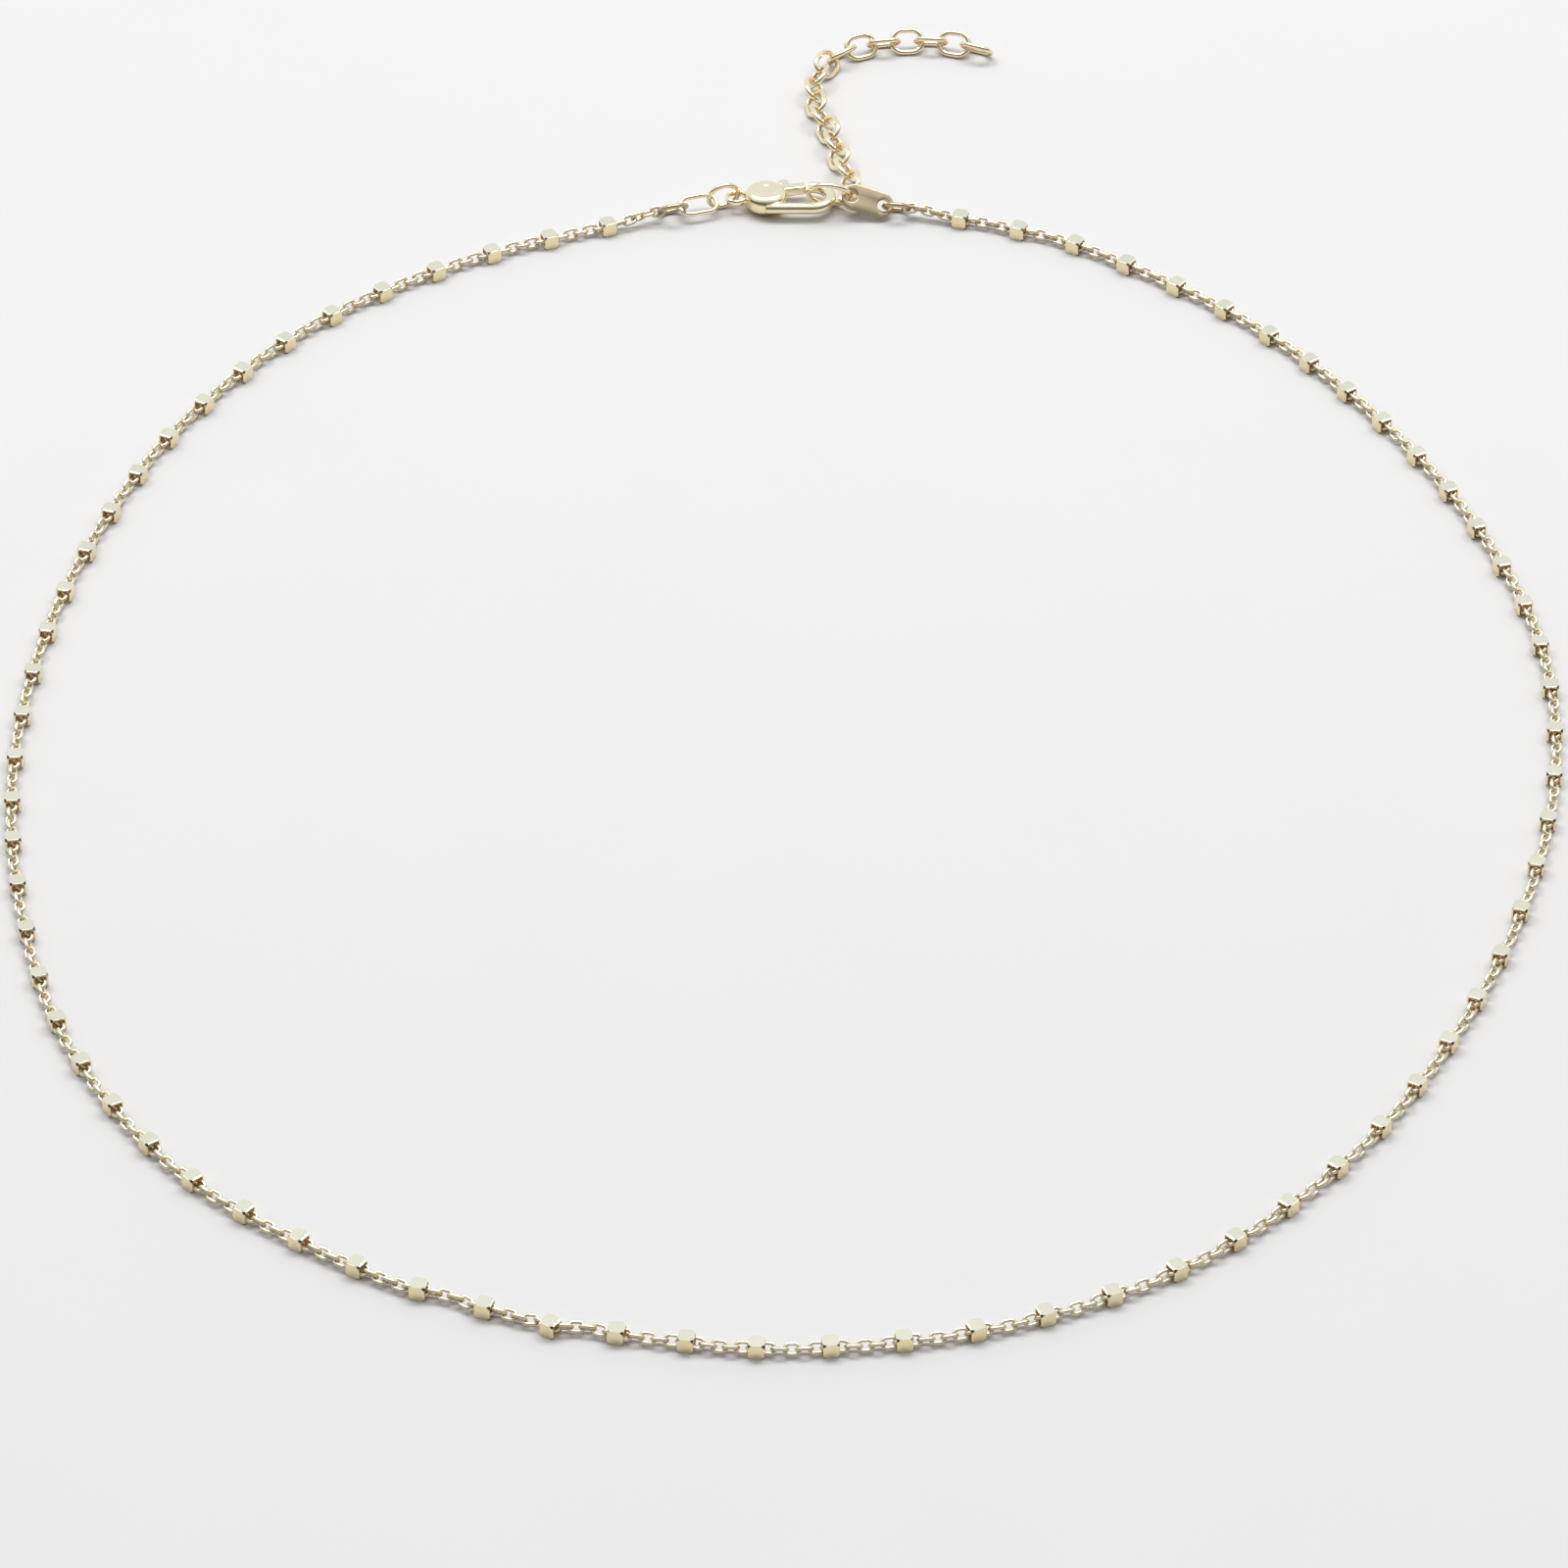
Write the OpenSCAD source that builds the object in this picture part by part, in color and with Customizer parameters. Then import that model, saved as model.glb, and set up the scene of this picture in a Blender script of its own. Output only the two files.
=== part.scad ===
// Cube chain necklace, lying closed on a flat surface. Millimetres, +Z up, the front towards -Y.

/* [Cubes] */
// Side of each cube
cube_side = 1.2; // [1.16:0.02:1.24]
// Side of the square hole drilled through each cube
bore_side = 0.84; // [0.8:0.02:0.86]
// Width of the bevel round both drilled faces
bevel = 0.12; // [0.06:0.02:0.14]
// How far each corner is cut back, measured along the cube's edges
corner_cut = 0.3; // [0.25:0.05:0.35]
// Number of cubes on the chain
cube_count = 73; // [60:1:73]
// Mean distance from cube to cube along the chain
cube_pitch = 5.2; // [5.1:0.05:5.2]

/* [Chain] */
// Outer diameter of the fine cable chain, taken as a tube
chain_d = 0.56; // [0.4:0.02:0.58]
// Length of a fine chain link, over its ends
fine_link_len = 1.28; // [1.26:0.02:1.3]
// Width of a fine chain link
fine_link_w = 0.95; // [0.9:0.05:1]
// Wire of the fine chain
fine_wire = 0.2; // [0.18:0.02:0.22]

/* [Extender] */
// Number of links in the extender chain
extender_count = 18; // [4:1:18]
// Length of an extender link, over its ends
extender_link_len = 3; // [3:0.05:3.05]
// Width of an extender link
extender_link_w = 2.3; // [2.2:0.05:2.35]
// Wire of the extender links
extender_wire = 0.45; // [0.4:0.01:0.45]
// Distance from link to link
extender_pitch = 2; // [1.95:0.01:2]

/* [Clasp] */
// Thickness of the clasp at its housing
clasp_t = 1.7; // [1.6:0.05:1.8]
// Thickness of the hook
hook_wire = 0.95; // [0.9:0.05:1]
// Radius of the middle line round the end of the hook
hook_r = 1.5; // [1.45:0.05:1.5]
// Radius of the round housing that holds the lever
housing_r = 1.75; // [1.7:0.05:1.8]
// Thickness of the lever
lever_t = 0.8; // [0.7:0.05:0.8]

/* [Rings] */
// Wire of the jump rings
ring_wire = 0.4; // [0.36:0.01:0.4]
// Thickness of the small end plate
plate_t = 0.4; // [0.36:0.02:0.4]
// Width of the small end plate
plate_w = 2.2; // [2:0.1:2.2]

/* [Hidden] */
$fn = 48;
air = 0.02;
lean = 45;
cube_mid = cube_side / 2;

// Route of the chain on the surface, from its left end round the front to its right end
loop_points = [
    [-11, 56.2], [-25.5, 50.1], [-37.9, 40.9], [-47.4, 28], [-53.4, 13.5], [-57, -2], [-58, -18],
    [-56.2, -34], [-51.7, -49.1], [-42.9, -62.9], [-30.4, -72.8], [-21, -77.3], [-16.2, -79.3],
    [-11.5, -80], [0.5, -81.5], [15.5, -79.1], [29.3, -72.2], [40.8, -60.7], [49.1, -46.8],
    [54.9, -32], [58.1, -16.5], [57.9, -0.5], [53.6, 15], [46.6, 29.1], [37.1, 41.6], [25.2, 51.3],
    [18.5, 54.6], [11.2, 56.9]
];

// Route of the extender on the surface, from the hook ring to its free end
extender_points = [
    [5.35, 57.7], [5.55, 59.7], [5.3, 61.7], [4.5, 64.5], [4, 67.5], [3, 70.5], [2.5, 74],
    [3, 77], [4.5, 79.5], [7, 81], [10, 81.5], [13, 81.5], [16, 80.5], [19, 79]
];

// How far the cubes have slid along the chain: [cube number, slide]
slides = [
    [0, 0.3], [2, 0], [6, -0.3], [9, -0.25], [13, 0.2], [18, 0.45], [19, 0], [20, 0], [22, 0.55],
    [25, 0.75], [28, 0.6], [31, 0.15], [33, -0.1], [34, -0.6], [36, -1.1], [41, -1.25], [44, -0.8],
    [46, -0.1], [50, 0.8], [54, 2], [57, 2.5], [63, 2.4], [66, 1.3], [70, 0.4], [72, 0]
];

// A few cubes that have turned on the surface: [cube number, turn in degrees]
turned = [[31, 9], [32, 6], [33, -19], [34, -5], [37, 4], [39, 8], [41, -4]];

// Smooth curve through a list of points, cut into short steps
curve_steps = 12;
function knot(pts, i) =
    i < 0 ? 2 * pts[0] - pts[1]
    : i >= len(pts) ? 2 * pts[len(pts) - 1] - pts[len(pts) - 2]
    : pts[i];
function between(a, b, c, d, t) =
    (2 * b + (c - a) * t + (2 * a - 5 * b + 4 * c - d) * t * t
        + (3 * b - a - 3 * c + d) * t * t * t) / 2;
function curve(pts) = [
    for (i = [0 : len(pts) - 2], j = [0 : curve_steps - 1])
        between(knot(pts, i - 1), pts[i], pts[i + 1], knot(pts, i + 2), j / curve_steps),
    pts[len(pts) - 1]
];
function run(path, i = 0, s = 0) =
    i >= len(path) - 1 ? [s] : concat([s], run(path, i + 1, s + norm(path[i + 1] - path[i])));
function column(path, lengths, c) = [for (i = [0 : len(path) - 1]) [lengths[i], path[i][c]]];

loop_curve = curve(loop_points);
loop_run = run(loop_curve);
loop_x = column(loop_curve, loop_run, 0);
loop_y = column(loop_curve, loop_run, 1);
loop_len = loop_run[len(loop_run) - 1];
function loop_at(s) = [lookup(s, loop_x), lookup(s, loop_y)];
heading_step = 0.4;
function loop_heading(s) =
    let (a = loop_at(max(s - heading_step, 0)), b = loop_at(min(s + heading_step, loop_len)))
    atan2(b[1] - a[1], b[0] - a[0]);

extender_curve = curve(extender_points);
extender_run = run(extender_curve);
extender_x = column(extender_curve, extender_run, 0);
extender_y = column(extender_curve, extender_run, 1);
function extender_at(s) = [lookup(s, extender_x), lookup(s, extender_y)];

// Distance of each cube along the chain, with an equal length left at both ends
first_cube = (loop_len - (cube_count - 1) * cube_pitch) / 2;
function cube_run(k) = first_cube + k * cube_pitch + lookup(k, slides);
function cube_turn(k) =
    let (found = [for (row = turned) if (row[0] == k) row[1]])
    len(found) > 0 ? found[0] : 0;

// Places of the clasp and of what joins it to the two chain ends
clasp_lift = 0.15;
clasp_at = [-0.15, 58.4, clasp_t / 2 + clasp_lift];
hook_x = 2.45;
hook_tip = 0.3;
housing_x = -1.35;
eye_x = -3.75;
eye_r = 0.95;
eye_hole_r = 0.58;
eye_t = 0.6;
pivot = [-1.3, 0.75];
hub_r = 0.7;
lever_reach = 3.3;
lever_w = 0.84;
lever_rise = 12;
tab_at = [0.1, 1.75];
tab_r = 0.45;
pin_r = 0.28;
pin_air = 0.03;
slot_air = 0.06;
slot_from = [pivot[0] - 1, pivot[1] - 0.8];
slot_size = [4, 3];

// Left side: jump ring in the clasp's eye, oval link, end ring, first fine link
left_from = [clasp_at[0] + eye_x, clasp_at[1]];
left_yaw = atan2(loop_points[0][1] - left_from[1], loop_points[0][0] - left_from[0]);
jump_ring_r = 1.25;
jump_ring_tilt = 75;
jump_ring_run = 1.1;
jump_ring_z = jump_ring_r * sin(jump_ring_tilt) + ring_wire / 2 + air;
oval_len = 3.5;
oval_w = 2.2;
oval_tilt = -15;
oval_run = 3.25;
left_ring_r = 1.15;
left_ring_run = 5.45;
left_ring_z = left_ring_r * sin(lean) + ring_wire / 2 + air;
left_link_run = 6.74;

// Right side: hook ring, end plate, end ring, last fine link
hook_ring_r = 1.75;
hook_ring_tilt = 60;
hook_ring_at = [3.72, 57.78];
hook_ring_z = hook_ring_r * sin(hook_ring_tilt) + ring_wire / 2 + air;
last_point = loop_points[len(loop_points) - 1];
right_yaw = atan2(last_point[1] - hook_ring_at[1], last_point[0] - hook_ring_at[0]);
plate_len = 4.4;
plate_hole_r = 0.5;
plate_hole_x = 1.35;
plate_tilt = 38;
plate_run = 3.12;
right_ring_r = 1.05;
right_ring_z = right_ring_r * sin(lean) + ring_wire / 2 + air;
right_ring_run = 5.52;
right_link_run = 6.69;
plate_slope = atan2(hook_ring_z - right_ring_z, 2 * plate_hole_x);

// Height of the chain's middle: level through the cubes, rising to the rings at both ends
rise_len = 3.4;
function chain_z(s) = lookup(s, [
    [0, left_ring_z], [rise_len, cube_mid], [loop_len - rise_len, cube_mid], [loop_len, right_ring_z]
]);

// Stops of the tube [x, y, z, heading]: one in each cube, or one each side of a cube that has turned
hole_stop = 0.7;
function loop_stop(s) = [loop_at(s)[0], loop_at(s)[1], chain_z(s), loop_heading(s)];
function cube_stops(k) =
    let (s = cube_run(k), at = loop_at(s), yaw = loop_heading(s) + cube_turn(k))
    cube_turn(k) == 0 ? [loop_stop(s)]
    : [
        for (side = [-hole_stop, hole_stop])
            [at[0] + side * cos(yaw), at[1] + side * sin(yaw), cube_mid, yaw]
    ];

extender_z = (extender_link_w - extender_wire) / 2 * sin(lean) + extender_wire / 2 + air;
first_link_z = 0.8;
first_link_tilt = 29;

// Places a flat piece: its length along yaw, dipping by slope, leaning by tilt about its length
module place(at, z, yaw, tilt, slope = 0) {
    translate([at[0], at[1], z]) rotate([0, slope, yaw]) rotate([tilt, 0, 0]) children();
}

// Places a flat piece some way along a straight line on the surface
module along(from, yaw, far, z, tilt, slope = 0) {
    place(from + far * [cos(yaw), sin(yaw)], z, yaw, tilt, slope) children();
}

module round_ring(middle_r, wire) {
    rotate_extrude() translate([middle_r, 0]) circle(d = wire);
}

module link(length, width, wire) {
    bend_r = (width - wire) / 2;
    straight = length - width;
    for (side = [-1, 1]) {
        translate([side * straight / 2, 0, 0]) rotate([0, 0, -90 * side])
            rotate_extrude(angle = 180) translate([bend_r, 0]) circle(d = wire);
        translate([-straight / 2, side * bend_r, 0]) rotate([0, 90, 0])
            cylinder(d = wire, h = straight);
    }
}

module bevelled_square(side, cut) {
    half = side / 2;
    polygon([
        [half - cut, half], [half, half - cut], [half, cut - half], [half - cut, -half],
        [cut - half, -half], [-half, cut - half], [-half, half - cut], [cut - half, half]
    ]);
}

// One drilled cube, its hole along X
module cube_bead() {
    corner_tilt = acos(1 / sqrt(3));
    corner_reach = (3 * cube_side / 2 - corner_cut) / sqrt(3);
    difference() {
        intersection() {
            linear_extrude(cube_side, center = true) bevelled_square(cube_side, bevel);
            rotate([90, 0, 0]) linear_extrude(cube_side, center = true)
                bevelled_square(cube_side, bevel);
            intersection_for(turn = [45, 135, 225, 315])
                rotate([0, 0, turn]) rotate([0, corner_tilt, 0])
                    cube([3 * cube_side, 3 * cube_side, 2 * corner_reach], center = true);
        }
        cube([2 * cube_side, bore_side, bore_side], center = true);
    }
}

module cubes() {
    color("#e2d9b5")
        for (k = [0 : cube_count - 1]) {
            s = cube_run(k);
            place(loop_at(s), cube_mid, loop_heading(s) + cube_turn(k), 0) cube_bead();
        }
}

// The fine cable chain as one tube, with its rings of corners at the stops
module chain() {
    sides = 8;
    stops = concat(
        [loop_stop(0), loop_stop(rise_len)], [for (k = [0 : cube_count - 1]) each cube_stops(k)],
        [loop_stop(loop_len - rise_len), loop_stop(loop_len)]
    );
    rings = len(stops);
    points = [
        for (stop = stops, c = [0 : sides - 1])
            let (yaw = stop[3], a = (c + 0.5) * 360 / sides, r = chain_d / 2)
            [stop[0] - r * cos(a) * sin(yaw), stop[1] + r * cos(a) * cos(yaw), stop[2] + r * sin(a)]
    ];
    walls = [
        for (i = [0 : rings - 2], c = [0 : sides - 1])
            let (a = i * sides + c, b = i * sides + (c + 1) % sides)
            [a, a + sides, b + sides, b]
    ];
    near_end = [for (c = [0 : sides - 1]) c];
    far_end = [for (c = [sides - 1 : -1 : 0]) (rings - 1) * sides + c];
    color("#d9cfa8") polyhedron(points, concat([near_end], walls, [far_end]));
}

module clasp_body() {
    slot = lever_t + 2 * slot_air;
    color("#e6dcb8") translate(clasp_at) difference() {
        union() {
            translate([hook_x, 0, 0]) rotate([0, 0, -90]) rotate_extrude(angle = 180)
                translate([hook_r, 0]) circle(d = hook_wire);
            translate([hook_x, hook_r, 0]) rotate([0, -90, 0]) cylinder(d = hook_wire, h = hook_tip);
            translate([housing_x, -hook_r, 0]) rotate([0, 90, 0])
                cylinder(d = hook_wire, h = hook_x - housing_x);
            translate([housing_x, 0, 0]) cylinder(r = housing_r, h = clasp_t, center = true);
            translate([eye_x, 0, 0]) cylinder(r = eye_r, h = eye_t, center = true);
        }
        translate([eye_x, 0, 0]) cylinder(r = eye_hole_r, h = 2 * eye_t, center = true);
        translate([slot_from[0], slot_from[1], -slot / 2]) cube([slot_size[0], slot_size[1], slot]);
        translate([pivot[0], pivot[1], 0]) cylinder(r = pin_r + air, h = 2 * clasp_t, center = true);
    }
}

module clasp_lever() {
    color("#dccf9f") translate(clasp_at) translate([pivot[0], pivot[1], -lever_t / 2])
        linear_extrude(lever_t) difference() {
            union() {
                circle(r = hub_r);
                intersection() {
                    rotate(lever_rise) translate([0, -lever_w / 2]) square([4, lever_w]);
                    circle(r = lever_reach);
                }
                translate(tab_at - pivot) circle(r = tab_r);
            }
            circle(r = pin_r + pin_air);
        }
}

module clasp_pin() {
    color("#cfc08a") translate([clasp_at[0] + pivot[0], clasp_at[1] + pivot[1], clasp_at[2]])
        cylinder(r = pin_r, h = clasp_t, center = true);
}

module clasp_ring() {
    color("#e2d9b5") along(left_from, left_yaw, jump_ring_run, jump_ring_z, jump_ring_tilt)
        round_ring(jump_ring_r, ring_wire);
}

module oval_link() {
    color("#d9cfa8") along(left_from, left_yaw, oval_run, clasp_at[2], oval_tilt)
        link(oval_len, oval_w, ring_wire);
}

module left_end_ring() {
    color("#c9bb8c") along(left_from, left_yaw, left_ring_run, left_ring_z, lean)
        round_ring(left_ring_r, ring_wire);
}

module left_chain_link() {
    color("#d9cfa8") along(left_from, left_yaw, left_link_run, left_ring_z, -lean)
        link(fine_link_len, fine_link_w, fine_wire);
}

module hook_ring() {
    color("#e2d9b5") along(hook_ring_at, right_yaw, 0, hook_ring_z, -hook_ring_tilt)
        round_ring(hook_ring_r, ring_wire);
}

module end_plate() {
    round_x = (plate_len - plate_w) / 2;
    color("#b9a878")
        along(hook_ring_at, right_yaw, plate_run, (hook_ring_z + right_ring_z) / 2, plate_tilt,
            plate_slope)
            linear_extrude(plate_t, center = true) difference() {
                union() {
                    square([2 * round_x, plate_w], center = true);
                    for (side = [-1, 1]) translate([side * round_x, 0]) circle(d = plate_w);
                }
                for (side = [-1, 1]) translate([side * plate_hole_x, 0]) circle(r = plate_hole_r);
            }
}

module right_end_ring() {
    color("#c9bb8c") along(hook_ring_at, right_yaw, right_ring_run, right_ring_z, -lean)
        round_ring(right_ring_r, ring_wire);
}

module right_chain_link() {
    color("#d9cfa8") along(hook_ring_at, right_yaw, right_link_run, right_ring_z, lean)
        link(fine_link_len, fine_link_w, fine_wire);
}

// Extender link i, counted from the hook ring; neighbours lean opposite ways
module extender_link(i) {
    a = extender_at((i - 1) * extender_pitch);
    b = extender_at(i * extender_pitch);
    z = i == 1 ? first_link_z : extender_z;
    tilt = i == 1 ? first_link_tilt : i % 2 == 1 ? lean : -lean;
    color("#e2d9b5") place((a + b) / 2, z, atan2(b[1] - a[1], b[0] - a[0]), tilt)
        link(extender_link_len, extender_link_w, extender_wire);
}

cubes();
chain();
clasp_body();
clasp_lever();
clasp_pin();
clasp_ring();
oval_link();
left_end_ring();
left_chain_link();
hook_ring();
end_plate();
right_end_ring();
right_chain_link();
for (i = [1 : extender_count])
    extender_link(i);
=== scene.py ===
import random
from bisect import bisect
from math import atan2, cos, pi, radians, sin

import bmesh
import bpy
from mathutils import Matrix, Vector


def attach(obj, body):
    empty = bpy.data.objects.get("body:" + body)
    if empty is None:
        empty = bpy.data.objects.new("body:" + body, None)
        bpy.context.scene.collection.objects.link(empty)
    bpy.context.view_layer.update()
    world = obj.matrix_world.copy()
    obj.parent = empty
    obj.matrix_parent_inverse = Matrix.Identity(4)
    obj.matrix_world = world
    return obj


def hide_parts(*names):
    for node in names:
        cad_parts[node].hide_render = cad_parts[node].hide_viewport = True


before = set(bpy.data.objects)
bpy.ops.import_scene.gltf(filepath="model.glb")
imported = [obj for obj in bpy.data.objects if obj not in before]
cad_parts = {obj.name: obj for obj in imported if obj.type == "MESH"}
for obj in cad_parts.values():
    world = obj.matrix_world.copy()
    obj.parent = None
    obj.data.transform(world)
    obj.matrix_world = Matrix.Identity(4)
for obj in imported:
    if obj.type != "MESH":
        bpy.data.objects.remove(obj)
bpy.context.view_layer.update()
mm = 0.001      # sizes and places are in millimetres, leans and turns in degrees, meshes in metres
print("frame loaded:", len(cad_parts), "nodes")

# the chain's route on the surface, from its left end round the front to its right end
route = {
    "points": [
        (-11, 56.2), (-25.5, 50.1), (-37.9, 40.9), (-47.4, 28), (-53.4, 13.5), (-57, -2), (-58, -18),
        (-56.2, -34), (-51.7, -49.1), (-42.9, -62.9), (-30.4, -72.8), (-21, -77.3), (-16.2, -79.3),
        (-11.5, -80), (0.5, -81.5), (15.5, -79.1), (29.3, -72.2), (40.8, -60.7), (49.1, -46.8),
        (54.9, -32), (58.1, -16.5), (57.9, -0.5), (53.6, 15), (46.6, 29.1), (37.1, 41.6), (25.2, 51.3),
        (18.5, 54.6), (11.2, 56.9),
    ],
    "stepsPerSpan": 12,
    "headingStep": 0.4,
    "cubeCount": 73,
    "cubePitch": 5.2,
    # how far cubes have slid along the chain, by cube number
    "slides": [
        (0, 0.3), (2, 0), (6, -0.3), (9, -0.25), (13, 0.2), (18, 0.45), (19, 0), (20, 0), (22, 0.55),
        (25, 0.75), (28, 0.6), (31, 0.15), (33, -0.1), (34, -0.6), (36, -1.1), (41, -1.25), (44, -0.8),
        (46, -0.1), (50, 0.8), (54, 2), (57, 2.5), (63, 2.4), (66, 1.3), (70, 0.4), (72, 0),
    ],
    "turned": {31: 9, 32: 6, 33: -19, 34: -5, 37: 4, 39: 8, 41: -4},   # cubes that have turned
}


# a curve through the points, cut into short steps
def smoothCurve(points):
    knots = [Vector(point) for point in points]
    knots = [2 * knots[0] - knots[1]] + knots + [2 * knots[-1] - knots[-2]]
    curve = []
    for a, b, c, d in zip(knots, knots[1:], knots[2:], knots[3:]):
        for step in range(route["stepsPerSpan"]):
            t = step / route["stepsPerSpan"]
            bend = (2 * a - 5 * b + 4 * c - d) * t * t + (3 * b - a - 3 * c + d) * t ** 3
            curve.append((2 * b + (c - a) * t + bend) / 2)
    return curve + [knots[-2]]


def runningLength(curve):
    lengths = [0.0]
    for start, end in zip(curve, curve[1:]):
        lengths.append(lengths[-1] + (end - start).length)
    return lengths


def curveAt(curve, runs, run):
    span = min(max(bisect(runs, run) - 1, 0), len(runs) - 2)
    t = (run - runs[span]) / (runs[span + 1] - runs[span])
    return curve[span].lerp(curve[span + 1], t)


# a value read off a short table, straight between its rows
def valueAt(x, table):
    x = min(max(x, table[0][0]), table[-1][0])
    for (low, start), (high, end) in zip(table, table[1:]):
        if x <= high:
            return start + (end - start) * (x - low) / (high - low)


def headingOf(direction):
    return atan2(direction.y, direction.x)


loopCurve = smoothCurve(route["points"])
loopRuns = runningLength(loopCurve)
loopLength = loopRuns[-1]


def loopAt(run):
    return curveAt(loopCurve, loopRuns, run)


def loopHeading(run):
    step = route["headingStep"]
    return headingOf(loopAt(min(run + step, loopLength)) - loopAt(max(run - step, 0)))


def cubeRun(k):
    first = (loopLength - (route["cubeCount"] - 1) * route["cubePitch"]) / 2
    return first + k * route["cubePitch"] + valueAt(k, route["slides"])


def cubeHeading(k):
    return loopHeading(cubeRun(k)) + radians(route["turned"].get(k, 0))


cubeRuns = [cubeRun(k) for k in range(route["cubeCount"])]


# a flat piece at a place on the surface: along yaw, dipping by slope, leaning by lean, in radians
def placeFlat(at, height, yaw, lean=0.0, slope=0.0):
    place = Matrix.Translation(Vector((at[0], at[1], height)) * mm)
    return (place @ Matrix.Rotation(yaw, 4, "Z") @ Matrix.Rotation(slope, 4, "Y")
            @ Matrix.Rotation(lean, 4, "X"))


def addObject(name, data):
    thing = bpy.data.objects.new(name, data)
    bpy.context.scene.collection.objects.link(thing)
    return thing


def closeForm(form, name):
    mesh = bpy.data.meshes.new(name)
    form.to_mesh(mesh)
    form.free()
    return mesh


def finishMesh(form, name, smooth=False):
    mesh = closeForm(form, name)
    for face in mesh.polygons:
        face.use_smooth = smooth
    return mesh


# one mesh out of many copies, each with its own small tone value
def meshOfCopies(name, source, places, seed):
    dice = random.Random(seed)
    form = bmesh.new()
    tone = form.verts.layers.float.new("tone")
    each = len(source.vertices)
    for place in places:
        form.from_mesh(source)
        form.verts.ensure_lookup_table()
        copied = form.verts[-each:]
        bmesh.ops.transform(form, matrix=place, verts=copied)
        shade = dice.random()
        for vert in copied:
            vert[tone] = shade
    return closeForm(form, name)


# a finished piece in the scene, in place of the CAD nodes that it stands for
def addPiece(name, source, places, seed, replaced, metals, body="necklace"):
    mesh = meshOfCopies(name, source, places, seed)
    for metal in metals:
        mesh.materials.append(gold[metal])
    piece = addObject(name, mesh)
    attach(piece, body)
    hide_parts(*replaced)


def edgesAt(verts):
    return list(dict.fromkeys(edge for vert in verts for edge in vert.link_edges))


def onlyKind(parts, kind):
    return [part for part in parts if isinstance(part, kind)]


rimAngle = 60       # an edge that is sharper than this is a rim


def rimsOf(edges):
    return [edge for edge in edges if edge.calc_face_angle(0) > radians(rimAngle)]


def roundEdges(form, edges, width, segments):
    bmesh.ops.bevel(form, geom=edges, offset=width * mm, affect="EDGES", segments=segments,
                    profile=0.5, material=-1)


# a closed ring: the section spun all the way round an upright axis
def spinRound(form, section, axisAt, steps):
    bmesh.ops.spin(form, geom=section + edgesAt(section), cent=(axisAt * mm, 0, 0), axis=(0, 0, 1),
                   dvec=(0, 0, 0), angle=2 * pi, steps=steps, use_merge=True,
                   use_normal_flip=False, use_duplicate=False)


def addNode(tree, kind, inputs=None, **settings):
    node = tree.nodes.new(kind)
    for key, value in settings.items():
        setattr(node, key, value)
    for key, value in (inputs or {}).items():
        if isinstance(value, bpy.types.NodeSocket):
            tree.links.new(value, node.inputs[key])
        else:
            node.inputs[key].default_value = value
    return node


def ramp(tree, value, start, end):
    return addNode(tree, "ShaderNodeMapRange", {0: value, 1: start, 2: end},
                   interpolation_type="SMOOTHSTEP").outputs[0]


def mixColours(tree, amount, one, other):
    return addNode(tree, "ShaderNodeMix", {0: amount, 6: one, 7: other}, data_type="RGBA").outputs[2]


def calculate(tree, operation, *values):
    return addNode(tree, "ShaderNodeMath", dict(enumerate(values)), operation=operation).outputs[0]


# an empty node group, its inputs and outputs given as name: kind, with its two end nodes
def startGroup(name, inputs, outputs):
    group = bpy.data.node_groups.new(name, "ShaderNodeTree")
    for sockets, side in ((inputs, "INPUT"), (outputs, "OUTPUT")):
        for socket, kind in sockets.items():
            group.interface.new_socket(socket, in_out=side, socket_type="NodeSocket" + kind)
    return group, group.nodes.new("NodeGroupInput"), group.nodes.new("NodeGroupOutput")


# where each facing colour starts and is full, by how far the surface faces up, from -1 to 1; these colours
# are painted light: painted reflection on tops, painted highlight on slants, painted shade on undersides
paintedLightRamps = {
    "Slanted": (0.1, 0.6),
    "Upward": (0.85, 0.98),
    "Downward": (-0.1, -0.8),
}


# group: the metal's colour with painted light and shade by the way it faces, with soft clouds and each copy's
# own tone
def makeToneAndPaintedLightGroup():
    group, start, end = startGroup("goldToneAndPaintedLight", {
        "Upward": "Color", "Slanted": "Color", "Sideways": "Color", "Downward": "Color",
        "Tone": "Float", "Cloud Scale": "Float", "Cloud Amount": "Float"}, {"Color": "Color"})
    coords = addNode(group, "ShaderNodeTexCoord")
    facing = addNode(group, "ShaderNodeSeparateXYZ", {0: coords.outputs["Normal"]}).outputs["Z"]
    colour = start.outputs["Sideways"]
    # painted light and shade: the colour turns lighter or darker with how far the surface faces up or down
    for name, (low, high) in paintedLightRamps.items():
        colour = mixColours(group, ramp(group, facing, low, high), colour, start.outputs[name])
    cloud = addNode(group, "ShaderNodeTexNoise", {
        "Vector": coords.outputs["Object"], "Scale": start.outputs["Cloud Scale"], "Detail": 3.0})
    swing = calculate(group, "ADD", cloud.outputs["Fac"], start.outputs["Tone"])
    centred = calculate(group, "ADD", swing, -1.0)
    bright = calculate(group, "MULTIPLY_ADD", centred, start.outputs["Cloud Amount"], 1.0)
    tinted = addNode(group, "ShaderNodeVectorMath", {0: colour, "Scale": bright}, operation="SCALE")
    group.links.new(tinted.outputs[0], end.inputs["Color"])
    return group


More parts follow.
